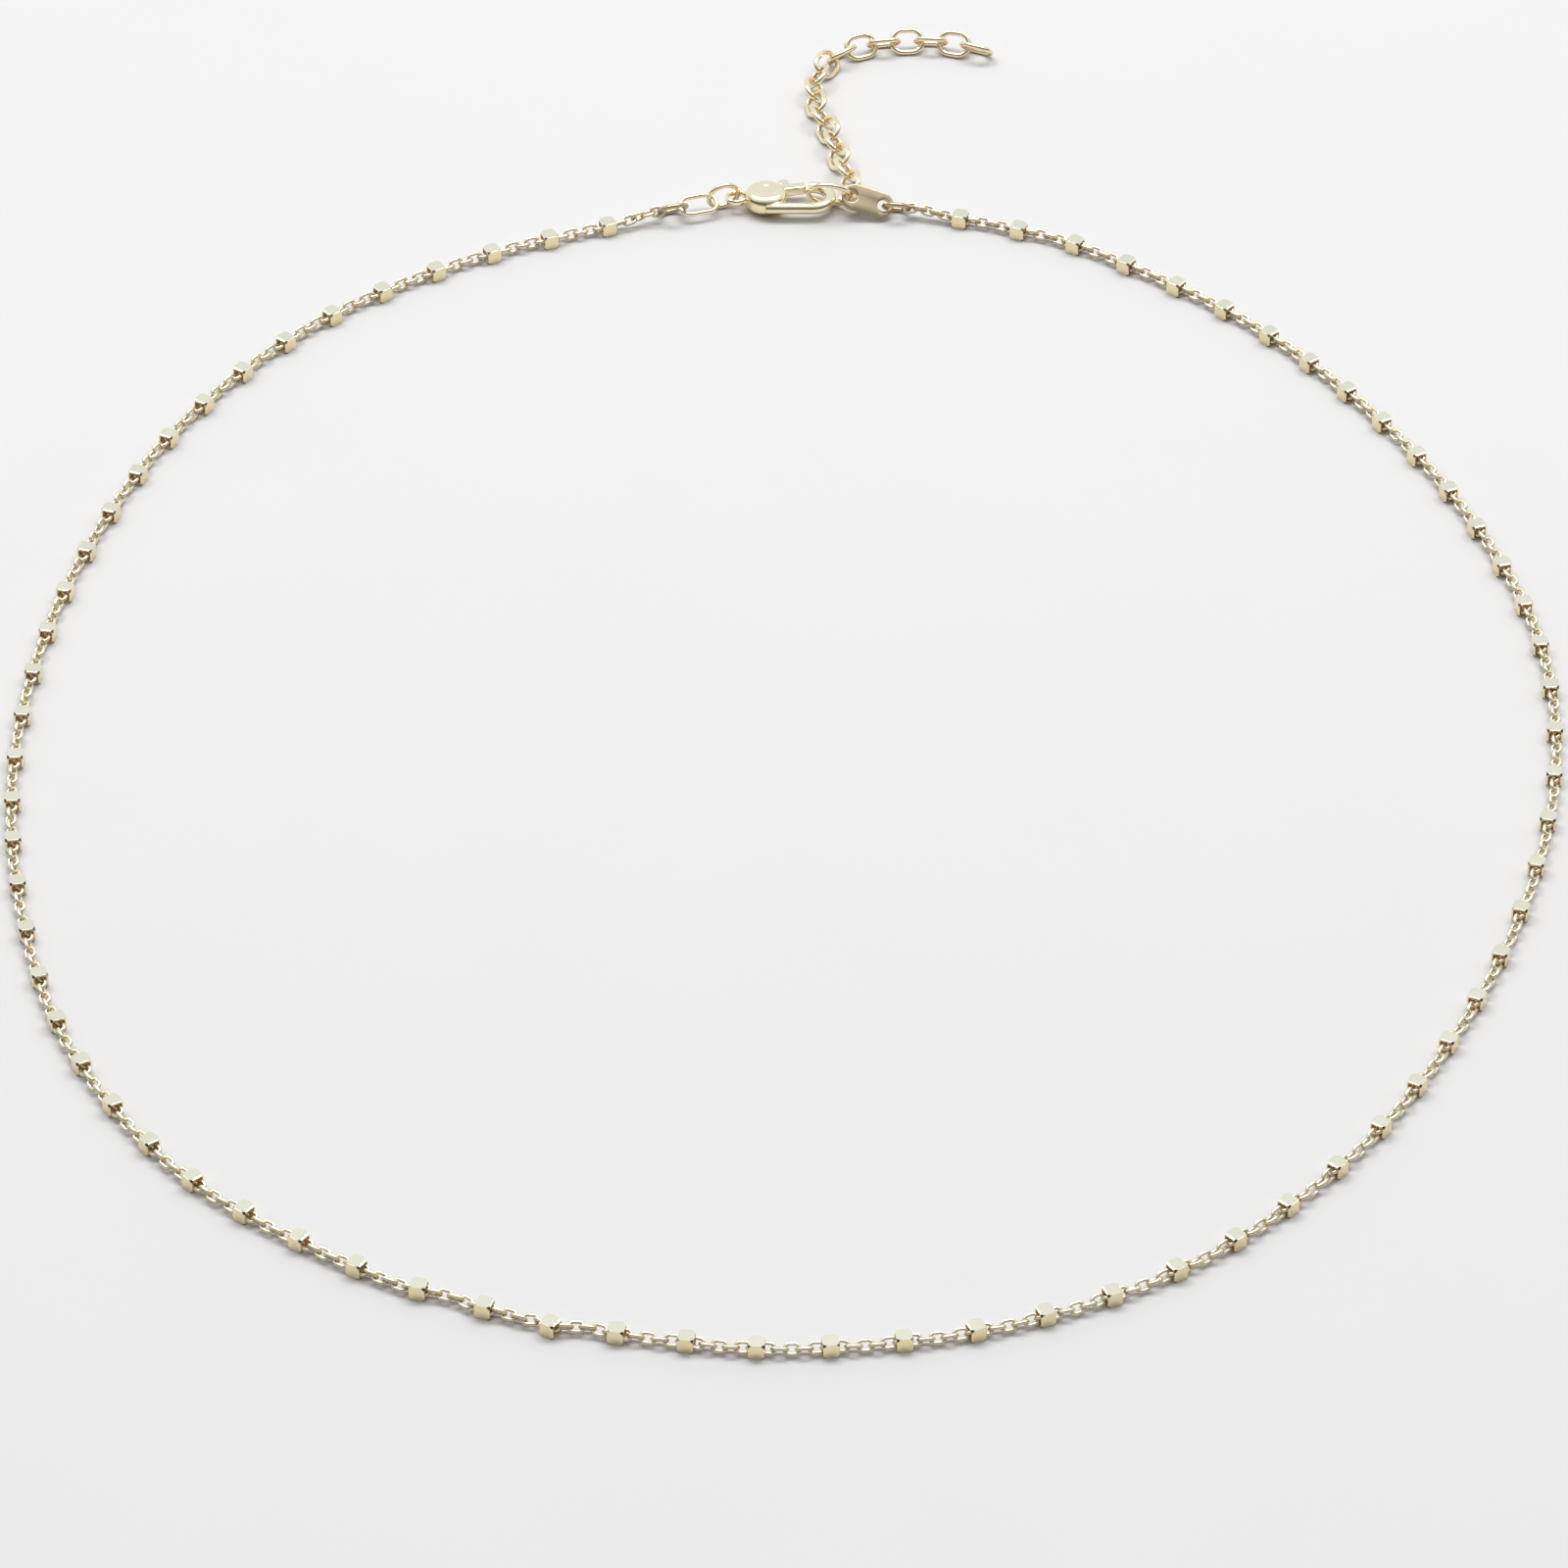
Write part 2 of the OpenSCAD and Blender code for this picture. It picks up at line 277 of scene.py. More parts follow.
# group: fine polishing marks, as a roughness and a height
def makePolishGroup():
    group, start, end = startGroup(
        "polishMarks", {"Roughness": "Float", "Spread": "Float", "Scale": "Float"},
        {"Roughness": "Float", "Height": "Float"})
    coords = addNode(group, "ShaderNodeTexCoord")
    stretch = addNode(group, "ShaderNodeMapping", {
        "Vector": coords.outputs["Object"], "Rotation": (0.3, 0.5, 0.7), "Scale": (1.0, 5.0, 1.0)})
    marks = addNode(group, "ShaderNodeTexNoise", {
        "Vector": stretch.outputs[0], "Scale": start.outputs["Scale"], "Detail": 4.0, "Roughness": 0.65})
    centred = calculate(group, "ADD", marks.outputs["Fac"], -0.5)
    rough = calculate(group, "MULTIPLY_ADD", centred, start.outputs["Spread"], start.outputs["Roughness"])
    group.links.new(rough, end.inputs["Roughness"])
    group.links.new(marks.outputs["Fac"], end.inputs["Height"])
    return group


toneAndPaintedLightGroup = makeToneAndPaintedLightGroup()
polishGroup = makePolishGroup()
markDepth = 0.01 * mm

# each metal's upward, slanted, sideways and downward colours are painted light: painted reflection on tops,
# painted highlight on slants, painted shade on sides and undersides
goldLooks = {
    "cubeGold": {
        "upward": (0.90, 0.895, 0.735), "slanted": (1.0, 0.97, 0.84),
        "sideways": (0.86, 0.745, 0.48), "downward": (0.72, 0.55, 0.36),
        "metallic": 1.0, "cloudScale": 900.0, "cloudAmount": 0.06,
        "roughness": 0.16, "spread": 0.1, "markScale": 7000.0, "bump": 0.2,
    },
    # the hole's walls: a deeper coppery gold, a painted reflection of gold in gold inside the hole
    "boreGold": {
        "upward": (0.92, 0.67, 0.40), "slanted": (0.92, 0.67, 0.40),
        "sideways": (0.90, 0.64, 0.37), "downward": (0.86, 0.60, 0.34),
        "metallic": 0.1, "cloudScale": 2500.0, "cloudAmount": 0.15,
        "roughness": 0.45, "spread": 0.15, "markScale": 9000.0, "bump": 0.4,
    },
    "chainGold": {
        "upward": (1.0, 0.97, 0.82), "slanted": (0.88, 0.82, 0.61),
        "sideways": (0.76, 0.65, 0.41), "downward": (0.54, 0.40, 0.22),
        "metallic": 1.0, "cloudScale": 1500.0, "cloudAmount": 0.06,
        "roughness": 0.34, "spread": 0.06, "markScale": 6000.0, "bump": 0.02,
    },
    "findingsGold": {
        "upward": (0.95, 0.90, 0.70), "slanted": (0.98, 0.90, 0.66),
        "sideways": (0.94, 0.80, 0.52), "downward": (0.84, 0.62, 0.38),
        "metallic": 1.0, "cloudScale": 500.0, "cloudAmount": 0.1,
        "roughness": 0.18, "spread": 0.08, "markScale": 4000.0, "bump": 0.08,
    },
    # gold painted dark all over, for the end plate and end rings: painted shade and painted dark reflection,
    # not a darker metal
    "paintedDarkGold": {
        "upward": (0.56, 0.47, 0.31), "slanted": (0.66, 0.55, 0.36),
        "sideways": (0.52, 0.42, 0.27), "downward": (0.44, 0.33, 0.20),
        "metallic": 1.0, "cloudScale": 700.0, "cloudAmount": 0.15,
        "roughness": 0.2, "spread": 0.1, "markScale": 4000.0, "bump": 0.15,
    },
}


def makeGold(name, look):
    material = bpy.data.materials.new(name)
    material.use_nodes = True
    tree = material.node_tree
    shader = tree.nodes["Principled BSDF"]
    shader.inputs["Metallic"].default_value = look["metallic"]
    tone = addNode(tree, "ShaderNodeAttribute", attribute_name="tone")
    colours = {side: (*look[side.lower()], 1) for side in ("Upward", "Slanted", "Sideways", "Downward")}
    colour = addNode(tree, "ShaderNodeGroup", {
        **colours, "Tone": tone.outputs["Fac"], "Cloud Scale": look["cloudScale"],
        "Cloud Amount": look["cloudAmount"]}, node_tree=toneAndPaintedLightGroup)
    marks = addNode(tree, "ShaderNodeGroup", {
        "Roughness": look["roughness"], "Spread": look["spread"], "Scale": look["markScale"]},
        node_tree=polishGroup)
    bump = addNode(tree, "ShaderNodeBump", {
        "Strength": look["bump"], "Distance": markDepth, "Height": marks.outputs["Height"]})
    tree.links.new(colour.outputs["Color"], shader.inputs["Base Color"])
    tree.links.new(marks.outputs["Roughness"], shader.inputs["Roughness"])
    tree.links.new(bump.outputs["Normal"], shader.inputs["Normal"])
    return material


gold = {name: makeGold(name, look) for name, look in goldLooks.items()}
print("metals made:", ", ".join(gold))

cubeLook = {
    "side": 1.195,
    "cornerCut": 0.26,
    "bevel": 0.09,          # round both drilled faces
    "edgeRound": 0.015,     # along the other edges
    "roundSteps": 2,
    "shortest": 0.5,        # the cube's own edges are longer
    "rim": 0.05,            # metal left round the hole
    "seed": 11,
}


# one drilled cube with its hole along X, its corners cut and its edges softened
def makeCubeMesh():
    half = cubeLook["side"] * mm / 2
    shortest = cubeLook["shortest"] * mm
    form = bmesh.new()
    bmesh.ops.create_cube(form, size=2 * half)
    bmesh.ops.bevel(form, geom=form.verts[:], offset=cubeLook["cornerCut"] * mm, affect="VERTICES",
                    segments=1, profile=0.5, material=-1)

    def onDrilledFace(edge):
        return all(abs(abs(vert.co.x) - half) < 0.001 * mm for vert in edge.verts)

    def longEdges(drilled):
        return [edge for edge in form.edges
                if edge.calc_length() > shortest and onDrilledFace(edge) == drilled]

    roundEdges(form, longEdges(False), cubeLook["edgeRound"], cubeLook["roundSteps"])
    outer = [edge for edge in longEdges(True)
             if any(abs(face.normal.x) < 0.1 for face in edge.link_faces)]
    roundEdges(form, outer, cubeLook["bevel"], cubeLook["roundSteps"])

    # the hole: both drilled faces inset, taken away and joined by walls
    caps = [face for face in form.faces
            if abs(face.normal.x) > 0.99 and face.calc_area() > shortest ** 2]
    bmesh.ops.inset_region(form, faces=caps, thickness=cubeLook["rim"] * mm, use_even_offset=True)
    mouths = [edge for face in caps for edge in face.edges]
    bmesh.ops.delete(form, geom=caps, context="FACES_ONLY")
    # the walls take the second metal, painted coppery as a painted reflection inside the hole
    for face in bmesh.ops.bridge_loops(form, edges=mouths)["faces"]:
        face.material_index = 1
    bmesh.ops.recalc_face_normals(form, faces=form.faces[:])
    print("cube faces:", len(form.faces))
    return finishMesh(form, "cubeSource")


cubeHeight = cubeLook["side"] / 2
cubePlaces = [placeFlat(loopAt(run), cubeHeight, cubeHeading(k)) for k, run in enumerate(cubeRuns)]
addPiece("drilledCubes", makeCubeMesh(), cubePlaces, cubeLook["seed"], ["cubes"],
         ["cubeGold", "boreGold"])
print("cubes placed:", len(cubePlaces))


# one link, its length along X: a round wire spun about Z and the two halves drawn apart
def makeLinkMesh(name, length, width, look):
    form = bmesh.new()
    turn = pi / look["steps"]
    middle = (width - look["wire"]) / 2 * mm / cos(turn)
    section = bmesh.ops.create_circle(form, segments=look["wireSides"], radius=look["wire"] / 2 * mm)["verts"]
    stand = (Matrix.Rotation(turn, 4, "Z") @ Matrix.Translation((middle, 0, 0))
             @ Matrix.Rotation(pi / 2, 4, "X"))
    bmesh.ops.transform(form, matrix=stand, verts=section)
    spinRound(form, section, 0, look["steps"])
    bmesh.ops.remove_doubles(form, verts=form.verts[:], dist=0.0005 * mm)
    for side in (-1, 1):
        bmesh.ops.translate(form, vec=(side * (length - width) / 2 * mm, 0, 0),
                            verts=[vert for vert in form.verts if side * vert.co.x > 0])
    bmesh.ops.recalc_face_normals(form, faces=form.faces[:])
    return finishMesh(form, name, True)


# the straight lines from the clasp's eye and from the hook ring to the two ends of the route
claspSides = {
    "left": {"start": (-3.9, 58.4), "routeEnd": 0},
    "right": {"start": (3.72, 57.78), "routeEnd": -1},
}


def lineFromClasp(side):
    start = Vector(claspSides[side]["start"])
    return start, Vector(route["points"][claspSides[side]["routeEnd"]]) - start


def besideClasp(side, run, height, lean, slope=0.0):
    start, line = lineFromClasp(side)
    return placeFlat(start + run * line.normalized(), height, headingOf(line), radians(lean), slope)


ringLook = {
    "wire": 0.4,
    "steps": 48,
    "wireSides": 16,
    "air": 0.02,        # under every ring
    "seed": 14,
}

# run: how far a ring is along its side's line; radius: of the middle of its wire
rings = {
    "claspRing": {
        "node": "clasp_ring", "side": "left", "run": 1.1, "radius": 1.25, "lean": 75,
        "metal": "findingsGold",
    },
    # both end rings take the gold painted dark as painted shade
    "leftEndRing": {
        "node": "left_end_ring", "side": "left", "run": 5.45, "radius": 1.15, "lean": 45,
        "metal": "paintedDarkGold",
    },
    "hookRing": {
        "node": "hook_ring", "side": "right", "run": 0, "radius": 1.75, "lean": -60,
        "metal": "findingsGold",
    },
    "rightEndRing": {
        "node": "right_end_ring", "side": "right", "run": 5.52, "radius": 1.05, "lean": -45,
        "metal": "paintedDarkGold",
    },
}


def ringHeight(name):
    lean = radians(abs(rings[name]["lean"]))
    return rings[name]["radius"] * sin(lean) + ringLook["wire"] / 2 + ringLook["air"]


linkLook = {
    "length": 1.37,
    "width": 1.0,
    "wire": 0.29,
    "steps": 12,            # corners round a link
    "wireSides": 6,
    "faceLean": 43,         # links that show their face at the front
    "edgeLean": 41,         # links that show their edge at the front
    "besideCube": 0.88,     # from the link in a cube to its neighbours
    "betweenCubes": 5,      # links from one cube's own link to the next one's
    "beforeFirst": 5,       # links before the first cube's own link
    "afterLast": 6,         # links after the last cube's own link
    "leftEndRun": 6.74,     # of the last link at the left, along that side's line
    "rightEndRun": 6.69,
    "riseLength": 3.4,      # of the chain's climb to its end rings
    # where the link in a cube lies, from the cube's middle, by cube number
    "cubeShifts": [
        (0, -0.2), (29, -0.2), (31, -0.58), (32, -0.6), (33, -0.75), (34, -0.36), (35, -0.12), (37, -0.1),
        (39, -0.24), (72, -0.2),
    ],
    "twists": [(0, -18), (33, -18), (35, 0), (40, 0), (42, 9), (72, 9)],     # by cube number
    "bows": {31: 0.2, 32: 0.1, 33: 0.4},        # how far the chain bends inwards after a cube
    "bow": -0.12,           # after all the other cubes
    "sag": 0.03,            # how far the chain hangs below the holes between two cubes
    "seed": 12,
}


def linkShift(k):
    return valueAt(k, linkLook["cubeShifts"])


# a spot on the fine chain, hanging a little and here and there bent aside between two cubes
def chainSpot(run):
    spot = loopAt(run)
    rise = linkLook["riseLength"]
    height = valueAt(run, [
        (0, ringHeight("leftEndRing")), (rise, cubeHeight),
        (loopLength - rise, cubeHeight), (loopLength, ringHeight("rightEndRing"))])
    span = bisect(cubeRuns, run) - 1
    if 0 <= span < len(cubeRuns) - 1:
        t = (run - cubeRuns[span]) / (cubeRuns[span + 1] - cubeRuns[span])
        height -= linkLook["sag"] * sin(pi * t) ** 2
        heading = loopHeading(run)
        aside = linkLook["bows"].get(span, linkLook["bow"]) * sin(pi * t)
        spot = spot + Vector((-sin(heading), cos(heading))) * aside
    return Vector((spot.x, spot.y, height))


# the last link at one side: how far its middle is past the route's end, and its outer end
def endLink(side):
    start, line = lineFromClasp(side)
    run = linkLook[side + "EndRun"]
    outer = start + (run - linkLook["besideCube"] / 2) * line.normalized()
    return line.length - run, Vector((*outer, ringHeight(side + "EndRing")))


# how far along the route each link's middle is, with the number of the cube that it lies in
def chainLinks(leftRun, rightRun):
    beside = linkLook["besideCube"]
    between = linkLook["betweenCubes"]
    middles = []
    for k, run in enumerate(cubeRuns):
        here = run + linkShift(k)
        middles.append((here, k))
        if k < len(cubeRuns) - 1:
            following = cubeRuns[k + 1] + linkShift(k + 1)
            pitch = (following - here - 2 * beside) / (between - 1)
            middles += [(here + beside + i * pitch, None) for i in range(between)]
    first = middles[0][0]
    last = middles[-1][0]
    count = linkLook["beforeFirst"]
    before = [(leftRun + (first - leftRun) * i / count, None) for i in range(count)]
    count = linkLook["afterLast"]
    after = [(last + (rightRun - last) * i / count, None) for i in range(1, count + 1)]
    return before + middles + after


# the spots where neighbouring links meet, from end to end of the chain
def chainJoints():
    beyondLeft, leftEnd = endLink("left")
    beyondRight, rightEnd = endLink("right")
    middles = chainLinks(-beyondLeft, loopLength + beyondRight)
    joints = [chainSpot((a + b) / 2) for (a, _), (b, _) in zip(middles, middles[1:])]
    half = linkLook["besideCube"] / 2
    for i, (_, k) in enumerate(middles):
        if k in route["turned"]:        # the link follows its turned cube
            yaw = cubeHeading(k)
            for side, j in ((-half, i - 1), (half, i)):
                spot = loopAt(cubeRuns[k]) + Vector((cos(yaw), sin(yaw))) * (linkShift(k) + side)
                joints[j] = Vector((spot.x, spot.y, joints[j].z))
    return [leftEnd] + joints + [rightEnd]


# neighbours lean opposite ways, with a quarter turn more from the first cube to the left end ring
def placeLinks():
    leans = (-radians(linkLook["edgeLean"]), radians(linkLook["faceLean"]))
    before = linkLook["beforeFirst"]
    perCube = linkLook["betweenCubes"] + 1
    joints = chainJoints()
    places = []
    for i, (start, end) in enumerate(zip(joints, joints[1:]), -before):
        step = end - start
        turn = leans[i % 2] + radians(valueAt(i / perCube, linkLook["twists"]))
        if i < 0:
            turn += pi / 2 * -i / before
        places.append(placeFlat((start + end) / 2, (start.z + end.z) / 2, headingOf(step), turn,
                                -atan2(step.z, step.xy.length)))
    return places


linkPlaces = placeLinks()
addPiece("fineLinks", makeLinkMesh("linkSource", linkLook["length"], linkLook["width"], linkLook),
         linkPlaces, linkLook["seed"], ["chain", "left_chain_link", "right_chain_link"], ["chainGold"])
print("fine links placed:", len(linkPlaces))

extender = {
    "route": [
        (5.35, 57.7), (5.55, 59.7), (5.3, 61.7), (4.5, 64.5), (4, 67.5), (3, 70.5), (2.5, 74),
        (3, 77), (4.5, 79.5), (7, 81), (10, 81.5), (13, 81.5), (16, 80.5), (19, 79),
    ],
    "count": 18,
    "pitch": 2.0,
    "length": 3.0,
    "width": 2.29,
    "wire": 0.44,
    "lean": 45,
    "air": 0.02,
    "firstLean": 29,        # the first link rides on the hook ring
    "firstHeight": 0.8,
    "steps": 32,
    "wireSides": 14,
    "seed": 13,
}


# the extender's links, neighbours leaning opposite ways
def placeExtender():
    curve = smoothCurve(extender["route"])
    runs = runningLength(curve)
    stops = [curveAt(curve, runs, i * extender["pitch"]) for i in range(extender["count"] + 1)]
    lean = radians(extender["lean"])
    wire = extender["wire"]
    height = (extender["width"] - wire) / 2 * sin(lean) + wire / 2 + extender["air"]
    places = [placeFlat(stops[0].lerp(stops[1], 0.5), extender["firstHeight"],
                        headingOf(stops[1] - stops[0]), radians(extender["firstLean"]))]
    for i in range(1, extender["count"]):
        places.append(placeFlat(stops[i].lerp(stops[i + 1], 0.5), height,
                                headingOf(stops[i + 1] - stops[i]), -lean if i % 2 else lean))
    return places


addPiece("extenderChain", makeLinkMesh("extenderSource", extender["length"], extender["width"], extender),
         placeExtender(), extender["seed"],
         [f"extender_link_{i + 1}" for i in range(extender["count"])], ["findingsGold"])
print("extender links placed:", extender["count"])

for name, ring in rings.items():
    width = 2 * ring["radius"] + ringLook["wire"]
    place = besideClasp(ring["side"], ring["run"], ringHeight(name), ring["lean"])
    addPiece(name, makeLinkMesh(name + "Source", width, width, ringLook), [place], ringLook["seed"],
             [ring["node"]], [ring["metal"]])

oval = {
    "length": 3.5,
    "width": 2.2,
    "run": 3.25,
    "height": 1.0,
    "lean": -15,
    "seed": 15,
}
addPiece("ovalLink", makeLinkMesh("ovalSource", oval["length"], oval["width"], ringLook),
         [besideClasp("left", oval["run"], oval["height"], oval["lean"])], oval["seed"],
         ["oval_link"], ["findingsGold"])
print("rings placed:", len(rings) + 1)

plate = {
    "length": 4.4,
    "width": 2.2,
    "thickness": 0.4,
    "holeRadius": 0.5,
    "holeAt": 1.35,
    "run": 3.12,
    "lean": 38,
    "edgeRound": 0.1,
    "roundSteps": 3,
    "steps": 64,
    "holeSteps": 32,
    "seed": 16,
}


# a plate with round ends and two round holes, its rims softened
def makePlateMesh():
    form = bmesh.new()
    thick = plate["thickness"] * mm
    bmesh.ops.create_circle(form, segments=plate["steps"], radius=plate["width"] / 2 * mm)
    reach = (plate["length"] - plate["width"]) / 2 * mm
    for vert in form.verts:
        vert.co.x += reach if vert.co.x > 0 else -reach
    for side in (-1, 1):
        bmesh.ops.create_circle(form, segments=plate["holeSteps"], radius=plate["holeRadius"] * mm,
                                matrix=Matrix.Translation((side * plate["holeAt"] * mm, 0, 0)))
    bmesh.ops.triangle_fill(form, edges=form.edges[:], use_beauty=True)
    bmesh.ops.translate(form, vec=(0, 0, -thick / 2), verts=form.verts)
    raised = bmesh.ops.extrude_face_region(form, geom=form.faces[:], use_keep_orig=True)["geom"]
    bmesh.ops.translate(form, vec=(0, 0, thick), verts=onlyKind(raised, bmesh.types.BMVert))
    bmesh.ops.recalc_face_normals(form, faces=form.faces[:])
    roundEdges(form, rimsOf(form.edges), plate["edgeRound"], plate["roundSteps"])
    return finishMesh(form, "plateSource", True)


# the plate lies from the hook ring down to the right end ring
def placePlate():
    high = ringHeight("hookRing")
    low = ringHeight("rightEndRing")
    slope = atan2(high - low, 2 * plate["holeAt"])
    return besideClasp("right", plate["run"], (high + low) / 2, plate["lean"], slope)


# the plate takes the gold painted dark as painted shade and dark reflection
addPiece("endPlate", makePlateMesh(), [placePlate()], plate["seed"], ["end_plate"], ["paintedDarkGold"])
print("end plate placed")

clasp = {
    "at": (-0.15, 58.4, 1.0),
    "thickness": 1.7,
    "hookWire": 0.95,
    "hookRadius": 1.5,
    "hookAt": 2.45,
    "hookTip": 0.3,
    "hookSteps": 28,
    "tipSteps": [(-0.08, 0.95), (-0.05, 0.85), (-0.02, 0.6)],      # the tip's dome: advance, scale
    "housingAt": -1.35,
    "housingRadius": 1.75,
    "housingRound": 0.7,
    "eyeAt": -3.75,
    "eyeRadius": 0.95,
    "eyeHole": 0.58,
    "eyeThickness": 0.6,
    "eyeSteps": 48,
    "wireSides": 20,
    "discSides": 64,
    "roundSteps": 7,
    "pivot": (-1.3, 0.75),
    "slotFrom": (-2.3, -0.05),
    "slotSize": (4, 3),
    "slotHeight": 0.92,
    "grain": 0.06,          # size of the cells that the body is made smooth with
    "seed": 17,
}


# a wire bent into the hook, from inside the housing round to its domed tip
def addHook(form):
    section = bmesh.ops.create_circle(form, segments=clasp["wireSides"],
                                      radius=clasp["hookWire"] / 2 * mm)["verts"]
    stand = (Matrix.Translation(Vector((clasp["hookAt"], -clasp["hookRadius"], 0)) * mm)
             @ Matrix.Rotation(pi / 2, 4, "Y"))
    bmesh.ops.transform(form, matrix=stand, verts=section)
    ring = edgesAt(section)
    bent = bmesh.ops.spin(form, geom=ring, cent=(clasp["hookAt"] * mm, 0, 0), axis=(0, 0, 1),
                          dvec=(0, 0, 0), angle=pi, steps=clasp["hookSteps"], use_merge=False,
                          use_normal_flip=False, use_duplicate=False)["geom_last"]

    def drawOut(edges, far, scale=1.0):
        drawn = bmesh.ops.extrude_edge_only(form, edges=edges)["geom"]
        verts = onlyKind(drawn, bmesh.types.BMVert)
        middle = sum((vert.co for vert in verts), Vector()) / len(verts)
        bmesh.ops.scale(form, vec=(scale, scale, scale), verts=verts,
                        space=Matrix.Translation(-middle))
        bmesh.ops.translate(form, vec=(far * mm, 0, 0), verts=verts)
        return [edge for edge in onlyKind(drawn, bmesh.types.BMEdge)
                if all(vert in verts for vert in edge.verts)]

    bmesh.ops.edgeloop_fill(form, edges=drawOut(ring, clasp["housingAt"] - clasp["hookAt"]))
    tip = drawOut(onlyKind(bent, bmesh.types.BMEdge), -clasp["hookTip"] / 2)
    for far, scale in clasp["tipSteps"]:
        tip = drawOut(tip, far, scale)
    bmesh.ops.edgeloop_fill(form, edges=tip)


def addDisc(form, at, radius, thickness, edgeRound):
    disc = bmesh.ops.create_cone(form, cap_ends=True, segments=clasp["discSides"], radius1=radius * mm,
                                 radius2=radius * mm, depth=thickness * mm,
                                 matrix=Matrix.Translation(Vector((*at, 0)) * mm))["verts"]
    roundEdges(form, rimsOf(edgesAt(disc)), edgeRound, clasp["roundSteps"])


def addEye(form):
    wide = (clasp["eyeRadius"] - clasp["eyeHole"]) / 2
    section = bmesh.ops.create_circle(form, segments=clasp["wireSides"], radius=mm)["verts"]
    shape = (Matrix.Translation(Vector((clasp["eyeAt"] + clasp["eyeRadius"] - wide, 0, 0)) * mm)
             @ Matrix.Rotation(pi / 2, 4, "X") @ Matrix.Diagonal((wide, clasp["eyeThickness"] / 2, 1, 1)))
    bmesh.ops.transform(form, matrix=shape, verts=section)
    spinRound(form, section, clasp["eyeAt"], clasp["eyeSteps"])


# a box by its middle and size
def addBox(form, place, size):
    box = bmesh.ops.create_cube(form, size=1)["verts"]
    stretch = Matrix.Diagonal((*(Vector(size) * mm), 1))
    bmesh.ops.transform(form, matrix=place @ stretch, verts=box)
    return box


def makeSlotMesh():
    form = bmesh.new()
    middle = Vector(clasp["slotFrom"]) + Vector(clasp["slotSize"]) / 2
    addBox(form, Matrix.Translation(Vector((*middle, 0)) * mm), (*clasp["slotSize"], clasp["slotHeight"]))
    return finishMesh(form, "slot")


meltLook = {
    "calm": 0.5,            # share of the smoothing in each step
    "calmSteps": 5,
    "sharpAngle": 40,       # sharper edges stay sharp
}


# the forms melted into one smooth body by cells, then the slot, if any, cut out of it
def meltTogether(form, name, grain, slot=None):
    bmesh.ops.recalc_face_normals(form, faces=form.faces[:])
    rough = addObject(name, finishMesh(form, name, True))
    melt = rough.modifiers.new("melt", "REMESH")
    melt.mode = "VOXEL"
    melt.voxel_size = grain * mm
    melt.use_smooth_shade = True
    calm = rough.modifiers.new("calm", "SMOOTH")
    calm.factor = meltLook["calm"]
    calm.iterations = meltLook["calmSteps"]
    if slot:
        cutter = addObject("cutter", slot)
        cut = rough.modifiers.new("cut", "BOOLEAN")
        cut.operation = "DIFFERENCE"
        cut.solver = "EXACT"
        cut.object = cutter
    bpy.context.view_layer.update()
    done = rough.evaluated_get(bpy.context.evaluated_depsgraph_get())
    mesh = bpy.data.meshes.new_from_object(done)
    mesh.name = name
    bpy.data.objects.remove(rough)
    if slot:
        bpy.data.objects.remove(cutter)
    mesh.set_sharp_from_angle(angle=radians(meltLook["sharpAngle"]))
    return mesh


def makeClaspMesh():
    form = bmesh.new()
    addHook(form)
    addDisc(form, (clasp["housingAt"], 0), clasp["housingRadius"], clasp["thickness"],
            clasp["housingRound"])
    addEye(form)
    return meltTogether(form, "claspSource", clasp["grain"], makeSlotMesh())


claspPlace = Matrix.Translation(Vector(clasp["at"]) * mm)
claspSource = makeClaspMesh()
addPiece("claspBody", claspSource, [claspPlace], clasp["seed"], ["clasp_body"], ["findingsGold"])
print("clasp faces:", len(claspSource.polygons))

lever = {
    "thickness": 0.8,
    "hubRadius": 0.7,
    "reach": 3.26,
    "width": 0.84,
    "rise": 12,
    "tabAt": (0.1, 1.75),
    "tabRadius": 0.45,
    "edgeRound": 0.16,
    "barRoundSteps": 4,
    "grain": 0.045,
    "seed": 18,
}


def makeLeverMesh():
    form = bmesh.new()
    addDisc(form, clasp["pivot"], lever["hubRadius"], lever["thickness"], lever["edgeRound"])
    addDisc(form, lever["tabAt"], lever["tabRadius"], lever["thickness"], lever["edgeRound"])
    place = (Matrix.Translation(Vector((*clasp["pivot"], 0)) * mm)
             @ Matrix.Rotation(radians(lever["rise"]), 4, "Z")
             @ Matrix.Translation((lever["reach"] / 2 * mm, 0, 0)))
    bar = addBox(form, place, (lever["reach"], lever["width"], lever["thickness"]))
    roundEdges(form, edgesAt(bar), lever["edgeRound"], lever["barRoundSteps"])
    return meltTogether(form, "leverSource", lever["grain"])


pin = {
    "radius": 0.28,
    "length": 1.74,
    "edgeRound": 0.09,
    "seed": 19,
}


def makePinMesh():
    form = bmesh.new()
    addDisc(form, clasp["pivot"], pin["radius"], pin["length"], pin["edgeRound"])
    return finishMesh(form, "pinSource", True)


addPiece("claspLever", makeLeverMesh(), [claspPlace], lever["seed"], ["clasp_lever"],
         ["findingsGold"], body="lever")
addPiece("claspPin", makePinMesh(), [claspPlace], pin["seed"], ["clasp_pin"], ["findingsGold"])
print("clasp's lever and pin placed")

floorLook = {
    "side": 6.0,            # metres
    "drop": 0.01,           # below the necklace
    "colour": (0.735, 0.735, 0.733),
    "grainScale": 60.0,
    "grainShade": 0.985,    # the darker grain's share of the colour
    "roughness": 0.7,
    "shine": 0.15,
}


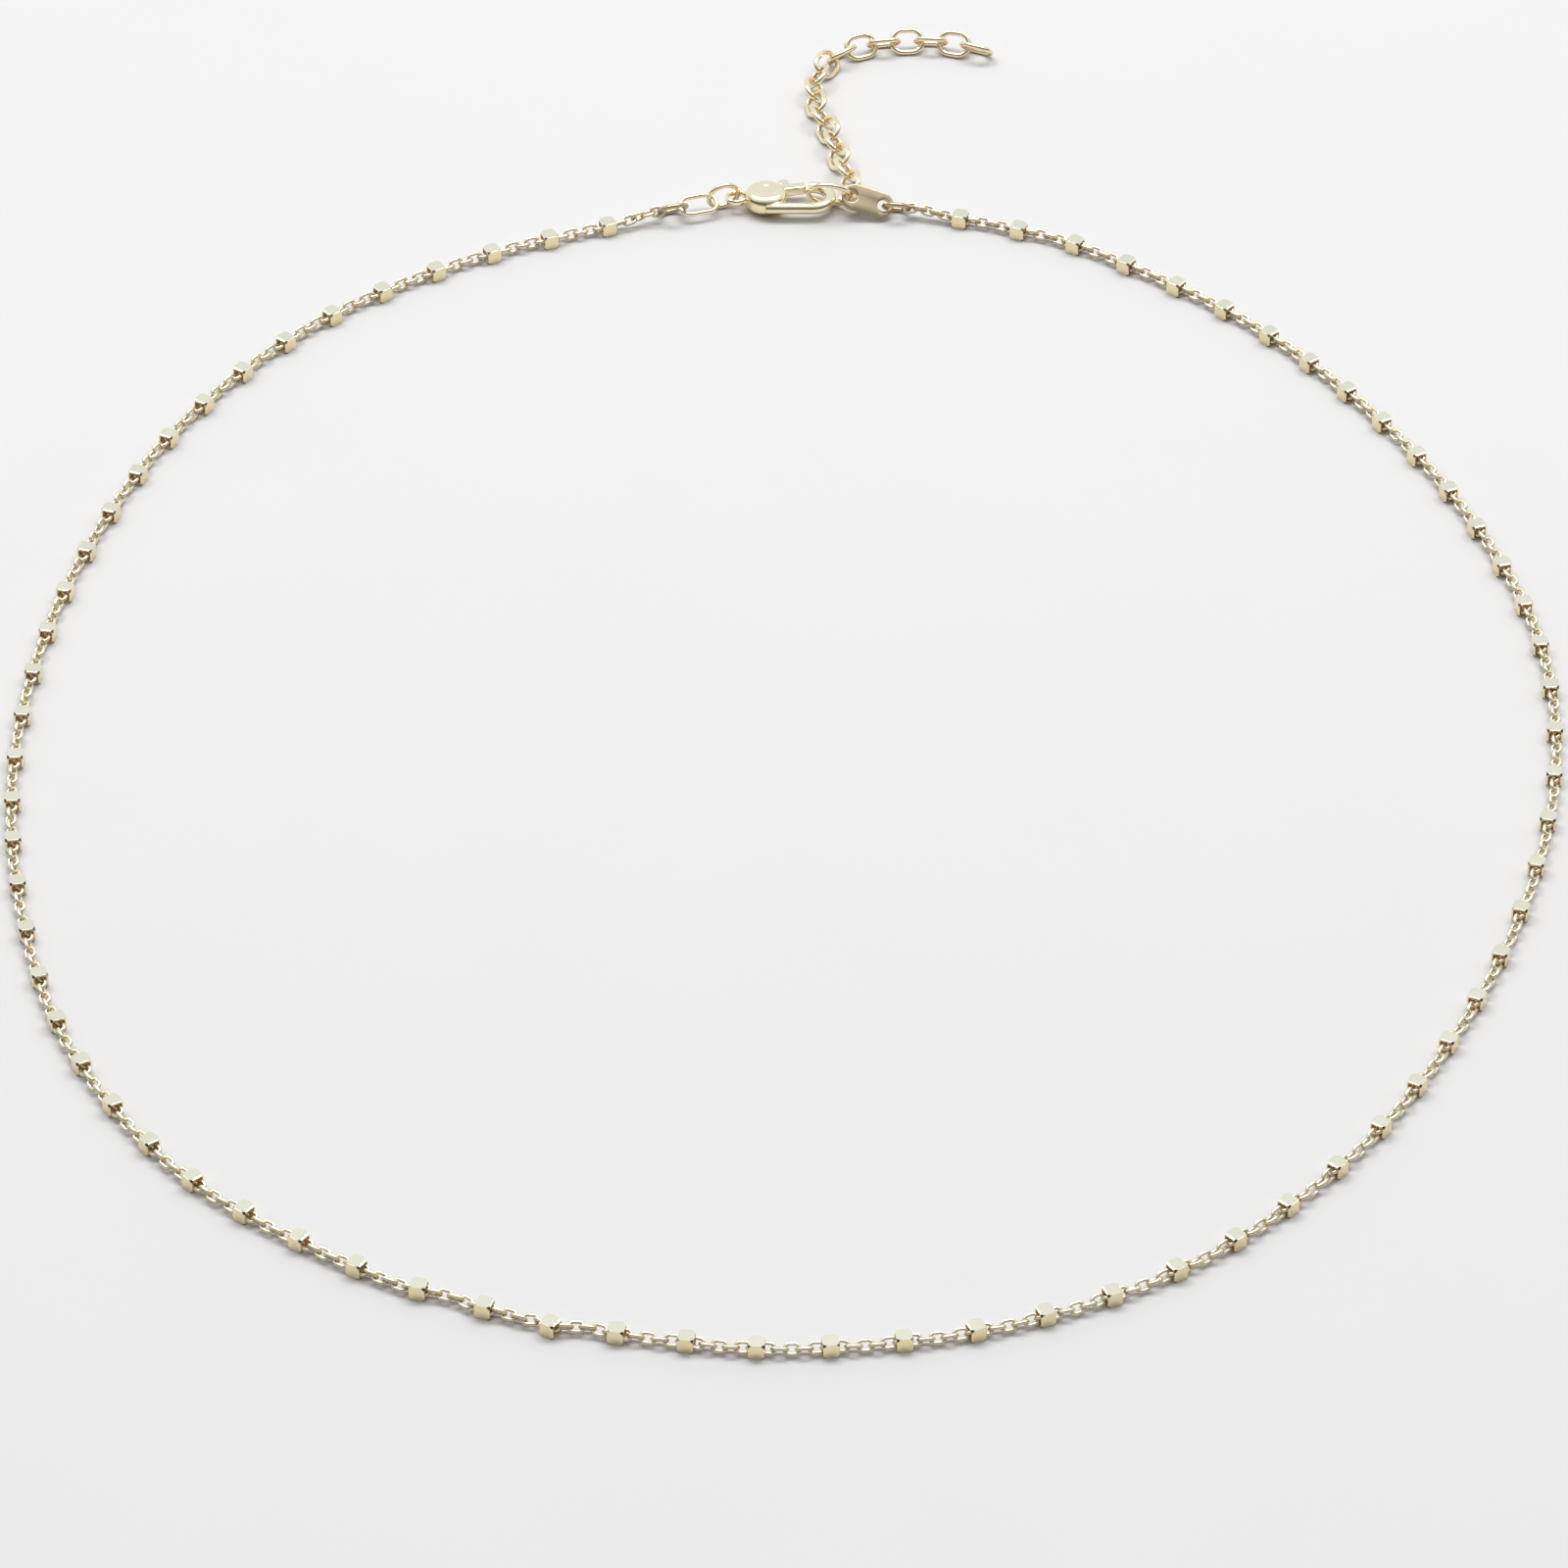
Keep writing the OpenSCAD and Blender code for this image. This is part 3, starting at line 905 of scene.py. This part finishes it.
def makeFloor():
    form = bmesh.new()
    bmesh.ops.create_grid(form, x_segments=1, y_segments=1, size=floorLook["side"] / 2)
    bmesh.ops.translate(form, vec=(0, 0, -floorLook["drop"] * mm), verts=form.verts)
    floor = addObject("studioFloor", finishMesh(form, "studioFloor"))
    material = bpy.data.materials.new("paleFloor")
    material.use_nodes = True
    tree = material.node_tree
    shader = tree.nodes["Principled BSDF"]
    coords = addNode(tree, "ShaderNodeTexCoord")
    grain = addNode(tree, "ShaderNodeTexNoise", {
        "Vector": coords.outputs["Object"], "Scale": floorLook["grainScale"]})
    light = floorLook["colour"]
    dark = [floorLook["grainShade"] * value for value in light]
    tree.links.new(mixColours(tree, grain.outputs["Fac"], (*light, 1), (*dark, 1)),
                   shader.inputs["Base Color"])
    shader.inputs["Roughness"].default_value = floorLook["roughness"]
    shader.inputs["Specular IOR Level"].default_value = floorLook["shine"]
    floor.data.materials.append(material)


# directions run from -1 to 1 along each axis; a pair is where a change starts and where it is full
skyLook = {
    "bright": (0.93, 0.93, 0.95),
    "front": (0.32, 0.31, 0.30),
    "band": (0.04, 0.035, 0.03),
    "strength": 0.88,
    "brightBy": (0.05, 0.6),    # backwards plus upwards
    "bandFoot": (0.36, 0.42),   # upwards
    "bandTop": (0.64, 0.56),
    "bandBack": (0.3, 0.1),     # backwards
    "bandDip": 0.22,            # how far the band comes down at both sides
}


# bright behind and overhead, duller low in front, with a dark band across the front and the sides
def makeSky():
    world = bpy.data.worlds.new("studioSky")
    bpy.context.scene.world = world
    world.use_nodes = True
    tree = world.node_tree
    background = tree.nodes["Background"]
    coords = addNode(tree, "ShaderNodeTexCoord")
    across, back, up = addNode(tree, "ShaderNodeSeparateXYZ", {0: coords.outputs["Generated"]}).outputs
    spread = ramp(tree, calculate(tree, "ADD", back, up), *skyLook["brightBy"])
    wide = mixColours(tree, spread, (*skyLook["front"], 1), (*skyLook["bright"], 1))
    aside = calculate(tree, "MULTIPLY", across, across)
    height = calculate(tree, "MULTIPLY_ADD", aside, skyLook["bandDip"], up)
    band = calculate(tree, "MULTIPLY", ramp(tree, height, *skyLook["bandFoot"]),
                     ramp(tree, height, *skyLook["bandTop"]))
    screen = calculate(tree, "MULTIPLY", band, ramp(tree, back, *skyLook["bandBack"]))
    tree.links.new(mixColours(tree, screen, wide, (*skyLook["band"], 1)), background.inputs["Color"])
    background.inputs["Strength"].default_value = skyLook["strength"]


# metres and watts
keyLook = {
    "at": (0.0, 0.24, 0.66),
    "size": (0.9, 0.26),
    "power": 3.7,
}


def makeKeyLight():
    light = bpy.data.lights.new("keyLight", "AREA")
    light.shape = "RECTANGLE"
    light.size, light.size_y = keyLook["size"]
    light.energy = keyLook["power"]
    holder = addObject("keyLight", light)
    spot = Vector(keyLook["at"])
    aim = (-spot).to_track_quat("-Z", "Y").to_matrix().to_4x4()
    holder.matrix_world = Matrix.Translation(spot) @ aim


cameraLook = {
    "at": (0, -553.1, 425.3),
    "pitch": 38.45,         # below level
    "lens": 208.4,
    "sensor": 36.0,
    "clip": (0.01, 20.0),   # metres
}


def makeCamera():
    lens = bpy.data.cameras.new("photoCamera")
    lens.lens = cameraLook["lens"]
    lens.sensor_width = cameraLook["sensor"]
    lens.clip_start, lens.clip_end = cameraLook["clip"]
    camera = addObject("photoCamera", lens)
    camera.location = Vector(cameraLook["at"]) * mm
    camera.rotation_euler = (radians(90 - cameraLook["pitch"]), 0, 0)
    bpy.context.scene.camera = camera


makeFloor()
makeSky()
makeKeyLight()
makeCamera()
bpy.context.scene.view_settings.view_transform = "Standard"
print("studio ready")
